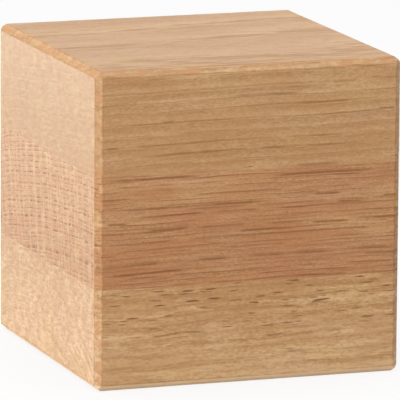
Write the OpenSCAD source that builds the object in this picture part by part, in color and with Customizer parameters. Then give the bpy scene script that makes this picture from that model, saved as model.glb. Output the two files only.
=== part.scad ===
// Solid oak cube, glued up from three flat boards that lie on each other with their
// grain running the same way, then planed square, chamfered on all twelve edges and
// sanded. X runs along the grain, so the two X faces show end grain. The origin is the
// centre of the underside, and +Z is up.

/* [Cube] */
// Side of the finished cube
cube_side = 60; // [50:1:100]

/* [Boards] */
// Thickness of the middle board, which keeps what it had when it was glued in
middle_t = 21.1; // [12:0.1:30]
// Thickness left to the top board when the block was planed square
top_t = 19.7; // [12:0.1:30]

/* [Edges] */
// Width that each chamfer takes off the faces beside it
chamfer_w = 1.15; // [0.8:0.05:3]
// Radius to which sanding eases the two arrises of each chamfer
arris_r = 0.3; // [0.1:0.05:0.6]

/* [Hidden] */

$fn = 48;

half_side = cube_side / 2;
// The bottom board has the rest of the height. Each board reaches from one level to the next.
bottom_t = cube_side - middle_t - top_t;
levels = [0, bottom_t, bottom_t + middle_t, cube_side];
chamfer_angle = 45;

// Colours of the boards: the middle one was cut from darker, redder heartwood
honey_oak = [0.77, 0.60, 0.43];
russet_oak = [0.72, 0.53, 0.38];
tan_oak = [0.75, 0.59, 0.42];

// What sanding takes off one sharp arris: the wedge between the radii to the face and to
// the chamfer, outside the circle that touches both. The arris is at the origin, with
// the face running down from it and the chamfer up to the left.
module arris_waste() {
    translate([-arris_r, -arris_r * tan(chamfer_angle / 2)])
        difference() {
            polygon(2 * arris_r * [[0, 0], [1, 0], [cos(chamfer_angle), sin(chamfer_angle)]]);
            circle(arris_r);
        }
}

// What is cut and sanded off one square corner, which is at the origin: the triangle
// outside the chamfer, run out past both faces, and the two arrises that it leaves
module corner_waste() {
    polygon(chamfer_w * [[1, -2], [1, 1], [-2, 1]]);
    for (swap = [0, 1])
        mirror([swap, -swap])
            translate([0, -chamfer_w])
                arris_waste();
}

// A square bar along Z, with its four long edges chamfered and their arrises eased
module chamfered_bar() {
    translate([0, 0, -half_side])
        linear_extrude(cube_side)
            difference() {
                square(cube_side, center = true);
                for (quarter = [0:3])
                    rotate(90 * quarter)
                        translate([half_side, half_side])
                            corner_waste();
            }
}

// The whole cube, standing on its underside. What three bars share that cross at right
// angles has all twelve edges chamfered, with mitred corners where three chamfers meet.
module chamfered_cube() {
    translate([0, 0, half_side])
        intersection() {
            chamfered_bar();
            rotate([90, 0, 0]) chamfered_bar();
            rotate([0, 90, 0]) chamfered_bar();
        }
}

// One board's share of the finished cube, counted from the underside up. Its flat faces
// lie on the glue seams, and the outer boards carry the chamfers of the top and bottom.
module board(number) {
    intersection() {
        chamfered_cube();
        translate([-half_side, -half_side, levels[number]])
            cube([cube_side, cube_side, levels[number + 1] - levels[number]]);
    }
}

module bottom_stave() {
    color(honey_oak)
        board(0);
}

module middle_stave() {
    color(russet_oak)
        board(1);
}

module top_stave() {
    color(tan_oak)
        board(2);
}

bottom_stave();
middle_stave();
top_stave();
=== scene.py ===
from math import cos, radians, sin, tau
from types import SimpleNamespace

import bmesh
import bpy
from mathutils import Matrix, Vector


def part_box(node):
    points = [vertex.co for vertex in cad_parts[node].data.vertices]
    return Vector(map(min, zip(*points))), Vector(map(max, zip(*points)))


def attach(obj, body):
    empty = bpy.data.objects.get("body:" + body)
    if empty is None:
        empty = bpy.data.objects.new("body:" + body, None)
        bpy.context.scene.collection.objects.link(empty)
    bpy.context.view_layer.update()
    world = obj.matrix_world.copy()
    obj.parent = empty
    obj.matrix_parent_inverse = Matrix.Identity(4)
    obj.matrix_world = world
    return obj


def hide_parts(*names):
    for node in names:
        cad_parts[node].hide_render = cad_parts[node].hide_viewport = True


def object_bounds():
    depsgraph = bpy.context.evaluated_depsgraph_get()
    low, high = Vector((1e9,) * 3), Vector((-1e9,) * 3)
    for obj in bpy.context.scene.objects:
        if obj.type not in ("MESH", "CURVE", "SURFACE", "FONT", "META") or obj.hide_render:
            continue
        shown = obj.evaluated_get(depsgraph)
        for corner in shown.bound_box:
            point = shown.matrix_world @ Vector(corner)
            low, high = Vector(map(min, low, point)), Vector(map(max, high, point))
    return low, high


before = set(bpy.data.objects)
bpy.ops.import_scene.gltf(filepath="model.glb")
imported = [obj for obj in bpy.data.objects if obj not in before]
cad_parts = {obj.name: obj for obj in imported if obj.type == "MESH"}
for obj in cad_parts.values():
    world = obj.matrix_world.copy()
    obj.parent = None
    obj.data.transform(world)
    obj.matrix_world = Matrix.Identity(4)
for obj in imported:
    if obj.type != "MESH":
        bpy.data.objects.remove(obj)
cad_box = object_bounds()


# Bottom stave. A flat oak board, 60 by 60 by 19 mm, sawn from near the heart of its log:
# the growth rings arch over on the end grain. Planed, then glued face to face under the
# middle one. Its lower edges and upright corners are chamfered and sanded in the block.

MM = 0.001

# Sizes in mm: half the side of the cube, the width that a chamfer takes off each face, how
# far sanding rounds its arrises, how deep the outer faces dip, and the strip along each
# edge that has finer rows of faces.
HALF = round(cad_box[1].x / MM, 3)
CHAMFER = 1.15
EASING = 0.25
RELIEF = 0.03
EDGE_BAND = 1.5


class Wire:
    """One output of a node. Sums and products of wires add Math nodes to their tree."""

    def __init__(self, tree, kind, sockets=None, out=0, **settings):
        """Adds a node: first its settings, then the values or links of its sockets."""
        node = tree.nodes.new(kind)
        for name, value in settings.items():
            setattr(node, name, value)
        for key, value in (sockets or {}).items():
            socket = node.inputs[key]
            if isinstance(value, Wire):
                tree.links.new(value.socket, socket)
            elif socket.type == "RGBA":
                socket.default_value = (*value, 1)
            elif socket.type == "VECTOR" and not hasattr(value, "__len__"):
                socket.default_value = (value, value, value)
            else:
                socket.default_value = value
        self.tree, self.node, self.socket = tree, node, node.outputs[out]

    def add(self, kind, sockets=None, out=0, **settings):
        return Wire(self.tree, kind, sockets, out, **settings)

    def math(self, operation, *values):
        return self.add("ShaderNodeMath", dict(enumerate(values)), operation=operation)

    def vector(self, operation, *values):
        return self.add("ShaderNodeVectorMath", dict(enumerate(values)), operation=operation)

    def parts(self):
        split = self.add("ShaderNodeSeparateXYZ", {0: self})
        return [split.other(axis) for axis in range(3)]

    def other(self, out):
        twin = object.__new__(Wire)
        twin.tree, twin.node, twin.socket = self.tree, self.node, self.node.outputs[out]
        return twin

    def __add__(self, value):
        return self.math("ADD", self, value)

    def __radd__(self, value):
        return self.math("ADD", value, self)

    def __sub__(self, value):
        return self.math("SUBTRACT", self, value)

    def __rsub__(self, value):
        return self.math("SUBTRACT", value, self)

    def __mul__(self, value):
        return self.math("MULTIPLY", self, value)

    def __rmul__(self, value):
        return self.math("MULTIPLY", value, self)

    def __truediv__(self, value):
        return self.math("DIVIDE", self, value)

    def __rtruediv__(self, value):
        return self.math("DIVIDE", value, self)

    def __abs__(self):
        return self.math("ABSOLUTE", self)

    def most(self, value):
        """The larger of this wire and the value."""
        return self.math("MAXIMUM", self, value)

    def mix(self, first, second):
        """The first colour where this wire is 0, and the second where it is 1."""
        sockets = {0: self, 6: first, 7: second}
        return self.add("ShaderNodeMix", sockets, out=2, data_type="RGBA", clamp_factor=True)

    def ramp(self, start, end, low=0.0, high=1.0, smooth=True):
        """Runs from low at start to high at end, and stays level outside them."""
        sockets = {0: self, 1: start, 2: end, 3: low, 4: high}
        shape = "SMOOTHSTEP" if smooth else "LINEAR"
        return self.add("ShaderNodeMapRange", sockets, interpolation_type=shape)


def point(*axes):
    """Puts three wires or numbers together as one vector."""
    wire = next(axis for axis in axes if isinstance(axis, Wire))
    return wire.add("ShaderNodeCombineXYZ", dict(enumerate(axes)))


def noise(vector, detail=1.0, roughness=0.5):
    """Soft noise from 0 to 1, whose patches are about one unit wide."""
    sockets = {"Vector": vector, "Scale": 1.0, "Detail": detail, "Roughness": roughness}
    return vector.add("ShaderNodeTexNoise", sockets)


def blotches(place, along, across, detail=1.0, roughness=0.5):
    """Noise drawn out along the grain, with patches as long and wide as asked, in mm."""
    spot = place.vector("MULTIPLY", place, (1 / along, 1 / across, 1 / across))
    return noise(spot, detail, roughness)


GROWTH = ("pith_y", "pith_z", "ring", "slope", "drift", "sway", "uneven")


def growth(place, wood):
    """How a place in mm lies in the tree: years from the pith, turn around it, and the
    height by which the drifting grain lifts it."""
    x, y, z = place.parts()
    spot = place.vector("ADD", place, wood["seed"])
    drift = blotches(spot, along=42, across=30) - 0.5
    sway = blotches(spot, along=12, across=7) - 0.5
    rise = x * wood["slope"] + drift * wood["drift"] + sway * wood["sway"]
    up = z - wood["pith_z"] - rise
    out = y - wood["pith_y"]
    years = place.math("SQRT", up * up + out * out) / wood["ring"]
    good_years = place.add("ShaderNodeTexNoise", {"W": years * 0.6, "Scale": 1.0, "Detail": 1.0},
                           noise_dimensions="1D")
    years = years + (good_years - 0.5) * wood["uneven"]
    return years, place.math("ARCTAN2", out, up), rise


def lie_of_wood(tree, wood):
    """Where a place lies in the cube, in its log and in its year, with what many parts of
    the figure share. The seed moves each board to wood of its own in the noise."""
    place = Wire(tree, "ShaderNodeTexCoord", out="Object")
    place = place.vector("DIVIDE", place, MM)
    lie = SimpleNamespace()
    lie.along, lie.depth, lie.height = place.parts()
    lie.spot = place.vector("ADD", place, wood["seed"])
    lie.x, lie.y, lie.z = lie.spot.parts()

    years, turn, lie.rise = growth(place, wood)
    lie.around = turn * (HALF - wood["pith_z"])
    lie.season = years.math("FRACT", years)
    lie.year = years.math("FLOOR", years)
    lie.luck = place.add("ShaderNodeTexWhiteNoise", {"W": lie.year}, out="Color",
                         noise_dimensions="1D").parts()

    lie.end = abs(lie.along).ramp(HALF - 1.0, HALF - 0.4)
    lie.calm = 1 - lie.end * wood["end_calm"]
    lie.past_edge = place.add("ShaderNodeAttribute", out="Fac", attribute_name="past_edge")
    lie.weave = blotches(lie.spot, along=4, across=2) - 0.5
    lie.fibre = blotches(lie.spot, along=3.2, across=0.36, detail=3.0, roughness=0.7)
    lie.specks = blotches(lie.spot, along=0.7, across=0.3)
    return lie


def lanes(lie, length, width, detail=2.0):
    """Noise that is new in every ring, and changes slowly along the grain."""
    return noise(point(lie.x / length, lie.around / width, lie.year * 5.7), detail)


def rays(lie, wood):
    """Thin pale sheets that run out from the pith, seen as lines on the end grain."""
    apart = 2.3
    sockets = {"W": (lie.around + lie.weave * 2.0) / apart, "Scale": 1.0}
    nearest = lie.x.add("ShaderNodeTexVoronoi", sockets, voronoi_dimensions="1D")
    which = nearest.other("Color").parts()[0]
    sheet = noise(point(lie.x / 9, lie.z / 11, which * 50))
    torn_wide = lie.end * wood["ray_torn"]
    ray = (nearest * apart).ramp(0.08 + torn_wide, 0.28 + torn_wide * 1.7, 1.0, 0.0)
    return ray * (sheet + torn_wide * 0.4).ramp(0.38, 0.5)


def spring_row(lie, wood, ray):
    """The row of large pores that opens each ring, a thin dark streak where it is cut."""
    faint = wood["row_faint"]
    opens, closes = wood["row"] * 0.5, wood["row"]
    row = lie.season.ramp(0.0, 0.12) * lie.season.ramp(opens, closes, 1.0, 0.0)
    broken = lanes(lie, wood["streak_long"] / 2, 1.4, 1.0).ramp(0.35, 0.55)
    cut_open = lanes(lie, wood["streak_long"], 2.6).ramp(wood["open"], wood["open"] + 0.14)
    strength = broken * faint + cut_open * lie.luck[0] * (1 - faint)
    return row * lie.calm * (1 - ray * 0.7) * strength


def single_pores(lie, wood):
    """Short lengths of vessel cut open, deepest in the spring wood."""
    apart = 0.62
    bend = lie.weave * 0.6
    shaken = lie.spot.vector("ADD", lie.spot, point(0.0, bend, bend))
    cell = shaken.vector("MULTIPLY", shaken, (1 / wood["pore_long"], 1 / apart, 1 / apart))
    nearest = cell.add("ShaderNodeTexVoronoi", {"Vector": cell, "Scale": 1.0})
    chance = nearest.other("Color").parts()
    reach = 0.22 + chance[0] * 0.16
    pore = (nearest / reach).ramp(0.5, 1.1, 1.0, 0.0)
    spring = lie.season.ramp(0.0, 0.1) * lie.season.ramp(0.25, 0.6, 1.0, 0.0)
    deep = chance[1].ramp(wood["few"], wood["few"] + 0.3) * (0.6 + spring * 0.4)
    deep = deep * lie.height.ramp(wood["open_low"], wood["open_high"], 0.25, 1.0)
    return pore * lie.calm * deep.most(0.12)


def long_vessels(lie, wood):
    """A few vessels that lie in the front face itself, open along their whole length."""
    half_width = 0.24
    vessels = []
    for middle, level, length in wood["veins"]:
        reach = abs((lie.along - middle) / (length / 2))
        off = abs((lie.height - lie.rise - level) / half_width)
        vessels.append(reach.ramp(0.5, 1.0, 1.0, 0.0) * off.ramp(0.2, 1.5, 1.0, 0.0))
    vein = vessels[0]
    for other in vessels[1:]:
        vein = vein.most(other)
    front = lie.depth.ramp(1.1 - HALF, 2.0 - HALF, 1.0, 0.0)
    return vein * front * lanes(lie, 8.0, 3.0).ramp(0.3, 0.55, 0.3, 1.0)


def figure(lie, wood, ray):
    """How dark the wood is, from 0 to 1: its rings, fibre and cords, and its marks."""
    bands = (lie.season.ramp(0.3, 0.95) - 0.4) * lanes(lie, 26, 3.0).ramp(0.3, 0.7, 0.1, 1.9)
    arches = lie.height.ramp(wood["arch_low"], wood["arch_high"], 1.2, 0.3)
    bands = bands * (1 - lie.end * (1 - arches * lie.luck[1] * 1.8))
    fade = (lie.height - wood["even_at"]) / 20 * wood["deeper"]
    shade = 0.5 + bands * wood["contrast"] * (1 - fade) + fade

    # No plane reaches the end grain, which keeps the fine kerfs of the crosscut saw
    kerf = noise(point(0.0, lie.y / 2.5, (lie.height + lie.depth * 0.1) / 0.6), detail=2.0)
    shade = shade + (kerf - 0.5) * lie.end * 1.8

    cords = blotches(lie.spot, along=14, across=0.9, detail=2.0, roughness=0.6)
    mottle = blotches(lie.spot, along=24, across=8, detail=2.0)
    shade = shade + (lie.fibre - 0.5) * wood["fibre"] + (cords - 0.5) * wood["cords"]
    shade = shade + (lie.specks - 0.5) * 1.3 + (mottle - 0.5) * wood["mottle"]
    shade = shade - ray * lie.calm * wood["ray"]

    # The chamfers are torn a little across the grain, and more at the ends of the board
    torn = blotches(lie.spot, along=3, across=0.9, detail=2.0) - 0.5
    torn = torn * lie.past_edge.ramp(-0.1, 0.2)
    shade = shade + torn * (1.5 + abs(lie.along).ramp(HALF - 1.3, HALF - 1.1))
    return shade.most(0.0)


def bare_wood(lie, wood, shade):
    """The wood's own colour: pale to dark, more or less golden, and redder in patches."""
    base = shade.mix(wood["pale"], wood["dark"])
    golden = 0.82 + blotches(lie.spot, along=13, across=5, detail=2.0) * 0.36
    base = base.vector("MULTIPLY", base, point(1.0, 1.0, golden))
    base = lie.end.mix(base, base.vector("MULTIPLY", base, wood["end"]))
    blush = blotches(lie.spot, along=16, across=3, detail=3.0).ramp(0.35, 0.65)
    return (blush * wood["blushing"]).mix(base, wood["blush"])


def sanded_edges_and_painted_light(lie, wood, base, arris):
    """Sandpaper leaves fresh wood on the chamfers, scuffs them and leaves the arrises furry.
    Painted light on top: the chamfers' paler, cooler colour is partly painted sheen, the
    arrises' darkening partly painted shade that dims their highlight, and the lowest
    chamfers' pale band is painted bounce light from the table."""
    # Paler, cooler chamfers: fresh sanded wood, and partly painted sheen standing in for the
    # gloss that their rougher finish loses
    fresh_and_painted_sheen = base.vector("MULTIPLY", base, (1.02, 1.055, 1.12))
    base = lie.past_edge.ramp(-0.1, 0.2).mix(base, fresh_and_painted_sheen)
    patches = blotches(lie.spot, along=2.5, across=2.6, detail=2.0).ramp(0.48, 0.6)
    base = (lie.past_edge.ramp(-0.3, 0.2) * patches * 0.6).mix(base, (0.52, 0.24, 0.09))
    # Darker arrises: furry fibres, and partly painted shade that dims the highlight along them
    fur_and_painted_shade = arris * blotches(lie.spot, along=9, across=2, detail=2.0).ramp(0.42, 0.6) * 0.3
    base = fur_and_painted_shade.mix(base, wood["pore"])
    # Painted light: the lowest chamfers are painted pale, as bounce light from the white table
    # would light them
    painted_bounce_light = lie.past_edge.ramp(-0.1, 0.3) * lie.height.ramp(0.9, 1.4, 0.7, 0.0)
    return painted_bounce_light.mix(base, (0.85, 0.65, 0.42))


def oak(slot, wood):
    """Solid oak, grown and cut as the board's facts say, so that all its sides agree."""
    material = bpy.data.materials.new(slot)
    material.use_nodes = True
    tree = material.node_tree
    shader = tree.nodes["Principled BSDF"]

    lie = lie_of_wood(tree, wood)
    ray = rays(lie, wood)
    base = bare_wood(lie, wood, figure(lie, wood, ray))

    pore = single_pores(lie, wood) * wood["pore_dark"]
    row = spring_row(lie, wood, ray) * (wood["row_dark"] + lie.end * 0.05)
    stain = pore.most(row).most(long_vessels(lie, wood) * wood["vein_dark"])
    base = stain.mix(base, wood["pore"])
    arris = lie.past_edge.ramp(-0.3, 0.0) * lie.past_edge.ramp(0.0, 0.35, 1.0, 0.0)
    base = sanded_edges_and_painted_light(lie, wood, base, arris)
    tree.links.new(base.socket, shader.inputs["Base Color"])

    rough = 0.46 + (lie.fibre - 0.5) * 0.2 + stain * 0.25 - ray * 0.05 + arris * 0.2
    rough = rough + lie.past_edge.ramp(-0.2, 0.1) * 0.15
    tree.links.new(rough.socket, shader.inputs["Roughness"])

    swell = (lie.fibre - 0.5) * 0.016 + (lie.specks - 0.5) * 0.01 - stain * 0.04
    bump = swell.add("ShaderNodeBump", {"Height": swell, "Distance": MM, "Strength": 1.0})
    tree.links.new(bump.socket, shader.inputs["Normal"])
    return material


def inlet(tree, name, kind="NodeSocketFloat"):
    """Adds a named input to a Geometry Nodes tree, and returns its wire."""
    tree.interface.new_socket(name, in_out="INPUT", socket_type=kind)
    return Wire(tree, "NodeGroupInput", out=name)


def planing():
    """The tree that makes a board: a fine block, its outer edges chamfered and sanded."""
    tree = bpy.data.node_groups.new("planed_board", "GeometryNodeTree")
    tree.interface.new_socket("Board", in_out="OUTPUT", socket_type="NodeSocketGeometry")
    side, low, high = (inlet(tree, name) for name in ("Cube Side", "Low", "High"))
    chamfer, easing, relief = (inlet(tree, name) for name in ("Chamfer", "Easing", "Relief"))
    fine, rows = inlet(tree, "Edge Band"), inlet(tree, "Edge Rows", "NodeSocketInt")
    core = inlet(tree, "Core Rows", "NodeSocketInt")
    thin_core = inlet(tree, "Core Rows Up", "NodeSocketInt")
    finish = inlet(tree, "Material", "NodeSocketMaterial")
    wood = {fact: inlet(tree, fact) for fact in GROWTH}
    wood["seed"] = inlet(tree, "seed", "NodeSocketVector")

    across = core + rows * 2
    upward = thin_core + rows * 2
    sockets = {"Vertices X": across + 1, "Vertices Y": across + 1, "Vertices Z": upward + 1}
    block = Wire(tree, "GeometryNodeMeshCube", sockets)

    def spread(share, half, core_rows, all_rows):
        """Packs the block's even rows close together along its edges."""
        reach = abs(share * 2)
        turn = core_rows / all_rows
        middle = half - fine
        inner = reach * middle / turn
        outer = middle + (reach - turn) * fine / (1 - turn)
        return share.math("SIGN", share) * inner.math("MINIMUM", inner, outer)

    x, y, z = Wire(tree, "GeometryNodeInputPosition").parts()
    half = side / 2
    x = spread(x, half, core, across)
    y = spread(y, half, core, across)
    z = spread(z, (high - low) / 2, thin_core, upward) + (low + high) / 2 - half
    place = point(x, y, z + half)
    place = place.vector("DIVIDE", place, MM)

    ends = [abs(axis) for axis in (x, y, z)]
    signs = [axis.math("SIGN", axis) for axis in (x, y, z)]
    worn = easing * (0.6 + blotches(place, along=6, across=6))

    # How far two sides stick out past the chamfer between them, eased where it starts
    over = {(a, b): ends[a] + ends[b] - (side - chamfer) for a, b in ((0, 1), (1, 2), (0, 2))}
    cuts = {pair: past.math("SMOOTH_MAX", past, 0.0, worn) for pair, past in over.items()}
    first, second, third = over.values()
    past_edge = first.most(second.most(third)) / MM

    # Planing and handling leave the outer faces a little uneven, partly along the rings.
    # The glued faces stay flat.
    years = growth(place, wood)[0]
    ripple = years.math("SINE", years * tau) * 0.5 + 0.5
    hollow = relief * (ripple * 0.4 + blotches(place, along=20, across=8, detail=2.0) * 0.6)
    moved = []
    for axis in range(3):
        one, two = [cuts[pair] for pair in cuts if axis in pair]
        outside = ends[axis].math("GREATER_THAN", ends[axis], half - chamfer * 1.2)
        inward = one.most(two) / 2 + outside * hollow
        moved.append(signs[axis] * (ends[axis] - inward))
    target = point(moved[0], moved[1], moved[2] + half)
    marked = Wire(tree, "GeometryNodeStoreNamedAttribute",
                  {"Geometry": block, "Name": "past_edge", "Value": past_edge},
                  data_type="FLOAT", domain="POINT")
    shaped = Wire(tree, "GeometryNodeSetPosition", {"Geometry": marked, "Position": target})

    bend = Wire(tree, "GeometryNodeInputMeshEdgeAngle")
    crisp = bend.math("GREATER_THAN", bend, radians(40))
    smooth = Wire(tree, "GeometryNodeSetShadeSmooth", {"Geometry": shaped}, domain="FACE")
    sharp = Wire(tree, "GeometryNodeSetShadeSmooth",
                 {"Geometry": smooth, "Selection": crisp, "Shade Smooth": False}, domain="EDGE")
    whole = Wire(tree, "GeometryNodeRealizeInstances", {"Geometry": sharp})
    done = Wire(tree, "GeometryNodeSetMaterial", {"Geometry": whole, "Material": finish})
    output = tree.nodes.new("NodeGroupOutput")
    tree.links.new(done.socket, output.inputs["Board"])
    return tree


def planed(name, facts, tree):
    """Runs the planing tree on a blank with these facts, and returns the finished mesh."""
    blank = bpy.data.objects.new(name + "_blank", bpy.data.meshes.new(name + "_blank"))
    bpy.context.scene.collection.objects.link(blank)
    planer = blank.modifiers.new("planed_board", "NODES")
    planer.node_group = tree
    for item in tree.interface.items_tree:
        if item.in_out == "INPUT":
            planer[item.identifier] = facts[item.name]
    depsgraph = bpy.context.evaluated_depsgraph_get()
    mesh = bpy.data.meshes.new_from_object(blank.evaluated_get(depsgraph))
    mesh.name = name + "_wood"
    bpy.data.objects.remove(blank)
    return mesh


def join_glued_faces(mesh, levels):
    """Makes one face of each side that glue hides, because nothing is seen of its rows."""
    form = bmesh.new()
    form.from_mesh(mesh)
    for level in levels:
        if 0 < level < cad_box[1].z * 0.999:
            flat = [face for face in form.faces
                    if all(abs(vertex.co.z - level) < 1e-6 for vertex in face.verts)]
            bmesh.ops.dissolve_faces(form, faces=flat)
    form.to_mesh(mesh)
    form.free()


def board(name, slot, wood, tree):
    """Makes one board of the block, in place, with its share of the chamfers."""
    low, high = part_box(name)
    facts = {
        "Cube Side": cad_box[1].z, "Low": low.z, "High": high.z,
        "Chamfer": CHAMFER * MM, "Easing": EASING * MM, "Relief": RELIEF * MM,
        "Edge Band": EDGE_BAND * MM, "Edge Rows": 12, "Core Rows": 142, "Core Rows Up": 42,
        "Material": oak(slot, wood), **{fact: wood[fact] for fact in (*GROWTH, "seed")},
    }
    mesh = planed(name, facts, tree)
    join_glued_faces(mesh, (low.z, high.z))
    piece = bpy.data.objects.new(name + "_wood", mesh)
    bpy.context.scene.collection.objects.link(piece)
    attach(piece, "root")
    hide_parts(name)
    return piece


planed_board = planing()

# The facts of a board. seed: where it lies in the noise. pith_y, pith_z: the heart of its
# log. ring: the width of a year. slope, drift, sway, uneven: how the grain climbs, wanders
# and varies. pore_long, few, pore_dark: its pores, which are fully open from open_low up to
# open_high and above. row, row_faint, row_dark, streak_long, open: the pore rows. contrast,
# fibre, cords, mottle, ray: how strong each part of the figure is. even_at, deeper: where
# the shade is even, and how it changes above. pale to pore: colours. end, ray_torn, arch_low,
# arch_high, end_calm: the end grain. veins: middle, level and length of long vessels.

bottom_wood = {
    "seed": (11.0, 4.3, 7.0),
    "pith_y": 9, "pith_z": -52, "ring": 1.6,
    "slope": 0.02, "drift": 1.8, "sway": 1.4, "uneven": 1.0,
    "pore_long": 5, "few": 0.0, "pore_dark": 0.88, "open_low": 9, "open_high": 12.0,
    "row": 0.3, "row_faint": 0.35, "row_dark": 0.4, "streak_long": 6.0, "open": 0.45,
    "contrast": 0.38, "fibre": 1.2, "cords": 0.8, "mottle": 0.6, "ray": 0.3,
    "even_at": 11.0, "deeper": 0.5,
    "pale": (0.68, 0.437, 0.222), "dark": (0.42, 0.207, 0.070),
    "blush": (0.46, 0.225, 0.080), "blushing": 0.45, "pore": (0.17, 0.05, 0.005),
    "end": (1.03, 1.08, 1.17), "ray_torn": 0.0, "arch_low": 4, "arch_high": 8,
    "end_calm": 0.3, "vein_dark": 0.6, "veins": [(-16, 10.6, 9), (-4, 4.6, 3), (5, 8.6, 4)],
}
bottom_board = board("bottom_stave", "oak_bottom", bottom_wood, planed_board)


# Middle stave. A redder oak board, 21 mm thick, sawn far out in a larger log, so its rings
# lie almost flat, with dense open pores. Glued between the other two, it has chamfers only
# on its upright edges.

middle_wood = {
    "seed": (31.0, 24.0, 17.0),
    "pith_y": -35.0, "pith_z": -240.0, "ring": 0.95,
    "slope": 0.01, "drift": 1.6, "sway": 0.5, "uneven": 1.3,
    "pore_long": 5.0, "few": 0.5, "pore_dark": 0.65, "open_low": -20.0, "open_high": 0.0,
    "row": 0.45, "row_faint": 0.6, "row_dark": 0.75, "streak_long": 16.0, "open": 0.46,
    "contrast": 0.25, "fibre": 1.3, "cords": 0.8, "mottle": 0.6, "ray": 0.25,
    "even_at": 30.0, "deeper": -0.25,
    "pale": (0.59, 0.325, 0.147), "dark": (0.37, 0.156, 0.052),
    "blush": (0.44, 0.17, 0.062), "blushing": 0.5, "pore": (0.19, 0.052, 0.003),
    "end": (0.98, 1.045, 0.95), "ray_torn": 0.22, "arch_low": -20, "arch_high": 0,
    "end_calm": 0, "vein_dark": 0.7,
    "veins": [(-11, 34.3, 36), (15, 35, 7), (20, 33.3, 6), (28, 34, 4), (-26, 31.8, 5),
              (-16, 30.3, 10), (3, 29, 13), (16, 29.7, 9), (27, 30, 6), (26, 23, 8),
              (15, 39, 27), (-19, 39.8, 20), (-20, 22.3, 18)],
}
middle_board = board("middle_stave", "oak_middle", middle_wood, planed_board)


# Top stave. A quiet, tan oak board with rings that lie almost level, so that the cube's
# top shows broad, soft figure. It is glued on the middle one, and its upper edges and
# upright corners are chamfered.

top_wood = {
    "seed": (51.0, 44.0, 37.0),
    "pith_y": -45.0, "pith_z": -400.0, "ring": 2.0,
    "slope": 0.015, "drift": 1.4, "sway": 0.5, "uneven": 1.0,
    "pore_long": 4.0, "few": 0.65, "pore_dark": 0.7, "open_low": -20.0, "open_high": 0.0,
    "row": 0.3, "row_faint": 0.5, "row_dark": 0.7, "streak_long": 18.0, "open": 0.5,
    "contrast": 0.38, "fibre": 0.9, "cords": 0.5, "mottle": 0.5, "ray": 0.12,
    "even_at": 50.0, "deeper": -0.25,
    "pale": (0.615, 0.375, 0.18), "dark": (0.415, 0.207, 0.072),
    "blush": (0.46, 0.215, 0.080), "blushing": 0.4, "pore": (0.22, 0.082, 0.01),
    "end": (0.905, 0.91, 0.83), "ray_torn": 0.0, "arch_low": -20, "arch_high": 0,
    "end_calm": 0.75, "vein_dark": 0.65,
    "veins": [(12, 52.4, 32), (-16, 50.2, 3), (0, 44.1, 56), (27, 50.2, 4), (-27, 46, 3),
              (3, 54.2, 16)],
}
top_board = board("top_stave", "oak_top", top_wood, planed_board)


# The table: a white sheet under the cube that runs on past the edge of the view.

table = bpy.data.meshes.new("white_table")
form = bmesh.new()
bmesh.ops.create_grid(form, x_segments=1, y_segments=1, size=6.0)
form.to_mesh(table)
form.free()
white_table = bpy.data.objects.new("white_table", table)
bpy.context.scene.collection.objects.link(white_table)

paint = bpy.data.materials.new("white_table")
paint.use_nodes = True
nodes, links = paint.node_tree.nodes, paint.node_tree.links
diffuse = Wire(paint.node_tree, "ShaderNodeBsdfDiffuse", {"Color": (0.9, 0.9, 0.9)})
glow = Wire(paint.node_tree, "ShaderNodeEmission", {"Color": (1, 1, 1), "Strength": 1.0})
seen = Wire(paint.node_tree, "ShaderNodeLightPath", out="Is Camera Ray")
glossy = seen.other("Is Glossy Ray")
clear = seen.other("Is Transmission Ray")
straight = seen.most((glossy * 0.2).most(clear))
mixed = Wire(paint.node_tree, "ShaderNodeMixShader", {0: straight * 0.85, 1: diffuse, 2: glow})
links.new(mixed.socket, nodes["Material Output"].inputs["Surface"])
table.materials.append(paint)

# Studio light. A dim, pale room, whose background shows white. A long, low strip at the
# left front lights the end grain and the front, a softbox overhead lights the top, and a
# low strip behind on the left rims the edges.

middle_of_cube = (cad_box[0] + cad_box[1]) / 2
world = bpy.data.worlds.new("white_room")
world.use_nodes = True
bpy.context.scene.world = world
background = world.node_tree.nodes["Background"]
seen = Wire(world.node_tree, "ShaderNodeLightPath", out="Is Camera Ray")
straight = seen.most(seen.other("Is Glossy Ray"))
room = straight.ramp(0, 1, 0.3, 1.0, smooth=False)
world.node_tree.links.new(room.socket, background.inputs["Strength"])
background.inputs["Color"].default_value = (1, 1, 1, 1)


def lamp(name, place, size, power):
    """A soft lamp, as wide and tall as its size says, that faces the cube."""
    light = bpy.data.lights.new(name, "AREA")
    light.shape = "RECTANGLE"
    light.size, light.size_y = size
    light.energy = power
    stand = bpy.data.objects.new(name, light)
    bpy.context.scene.collection.objects.link(stand)
    stand.location = place
    stand.rotation_euler = (place - middle_of_cube).to_track_quat("Z", "Y").to_euler()


lamp("key_strip", Vector((-0.85, -0.5, 0.06)), (0.8, 0.1), 5.9)
lamp("overhead_softbox", Vector((0, 0, 1.1)), (0.8, 0.8), 9.5)
lamp("rear_strip", Vector((-0.57, 0.82, 0.04)), (0.7, 0.07), 3.5)

# The camera stands off to the left of the front and a little above, with a long lens.

turned_left, looking_down, tilt = radians(19.42), radians(10.93), radians(0.36)
away = Vector((-sin(turned_left) * cos(looking_down), -cos(turned_left) * cos(looking_down),
               sin(looking_down)))
camera = bpy.data.objects.new("camera", bpy.data.cameras.new("camera"))
bpy.context.scene.collection.objects.link(camera)
camera.data.sensor_width = 36
camera.data.lens = 514.7
turn = away.to_track_quat("Z", "Y").to_matrix() @ Matrix.Rotation(tilt, 3, "Z")
aim = middle_of_cube + turn @ Vector((0.00069, -0.00092, 0))
camera.matrix_world = Matrix.Translation(aim + away * 1.0885) @ turn.to_4x4()
camera.data.clip_start = 0.01
bpy.context.scene.camera = camera

bpy.context.scene.view_settings.view_transform = "Standard"
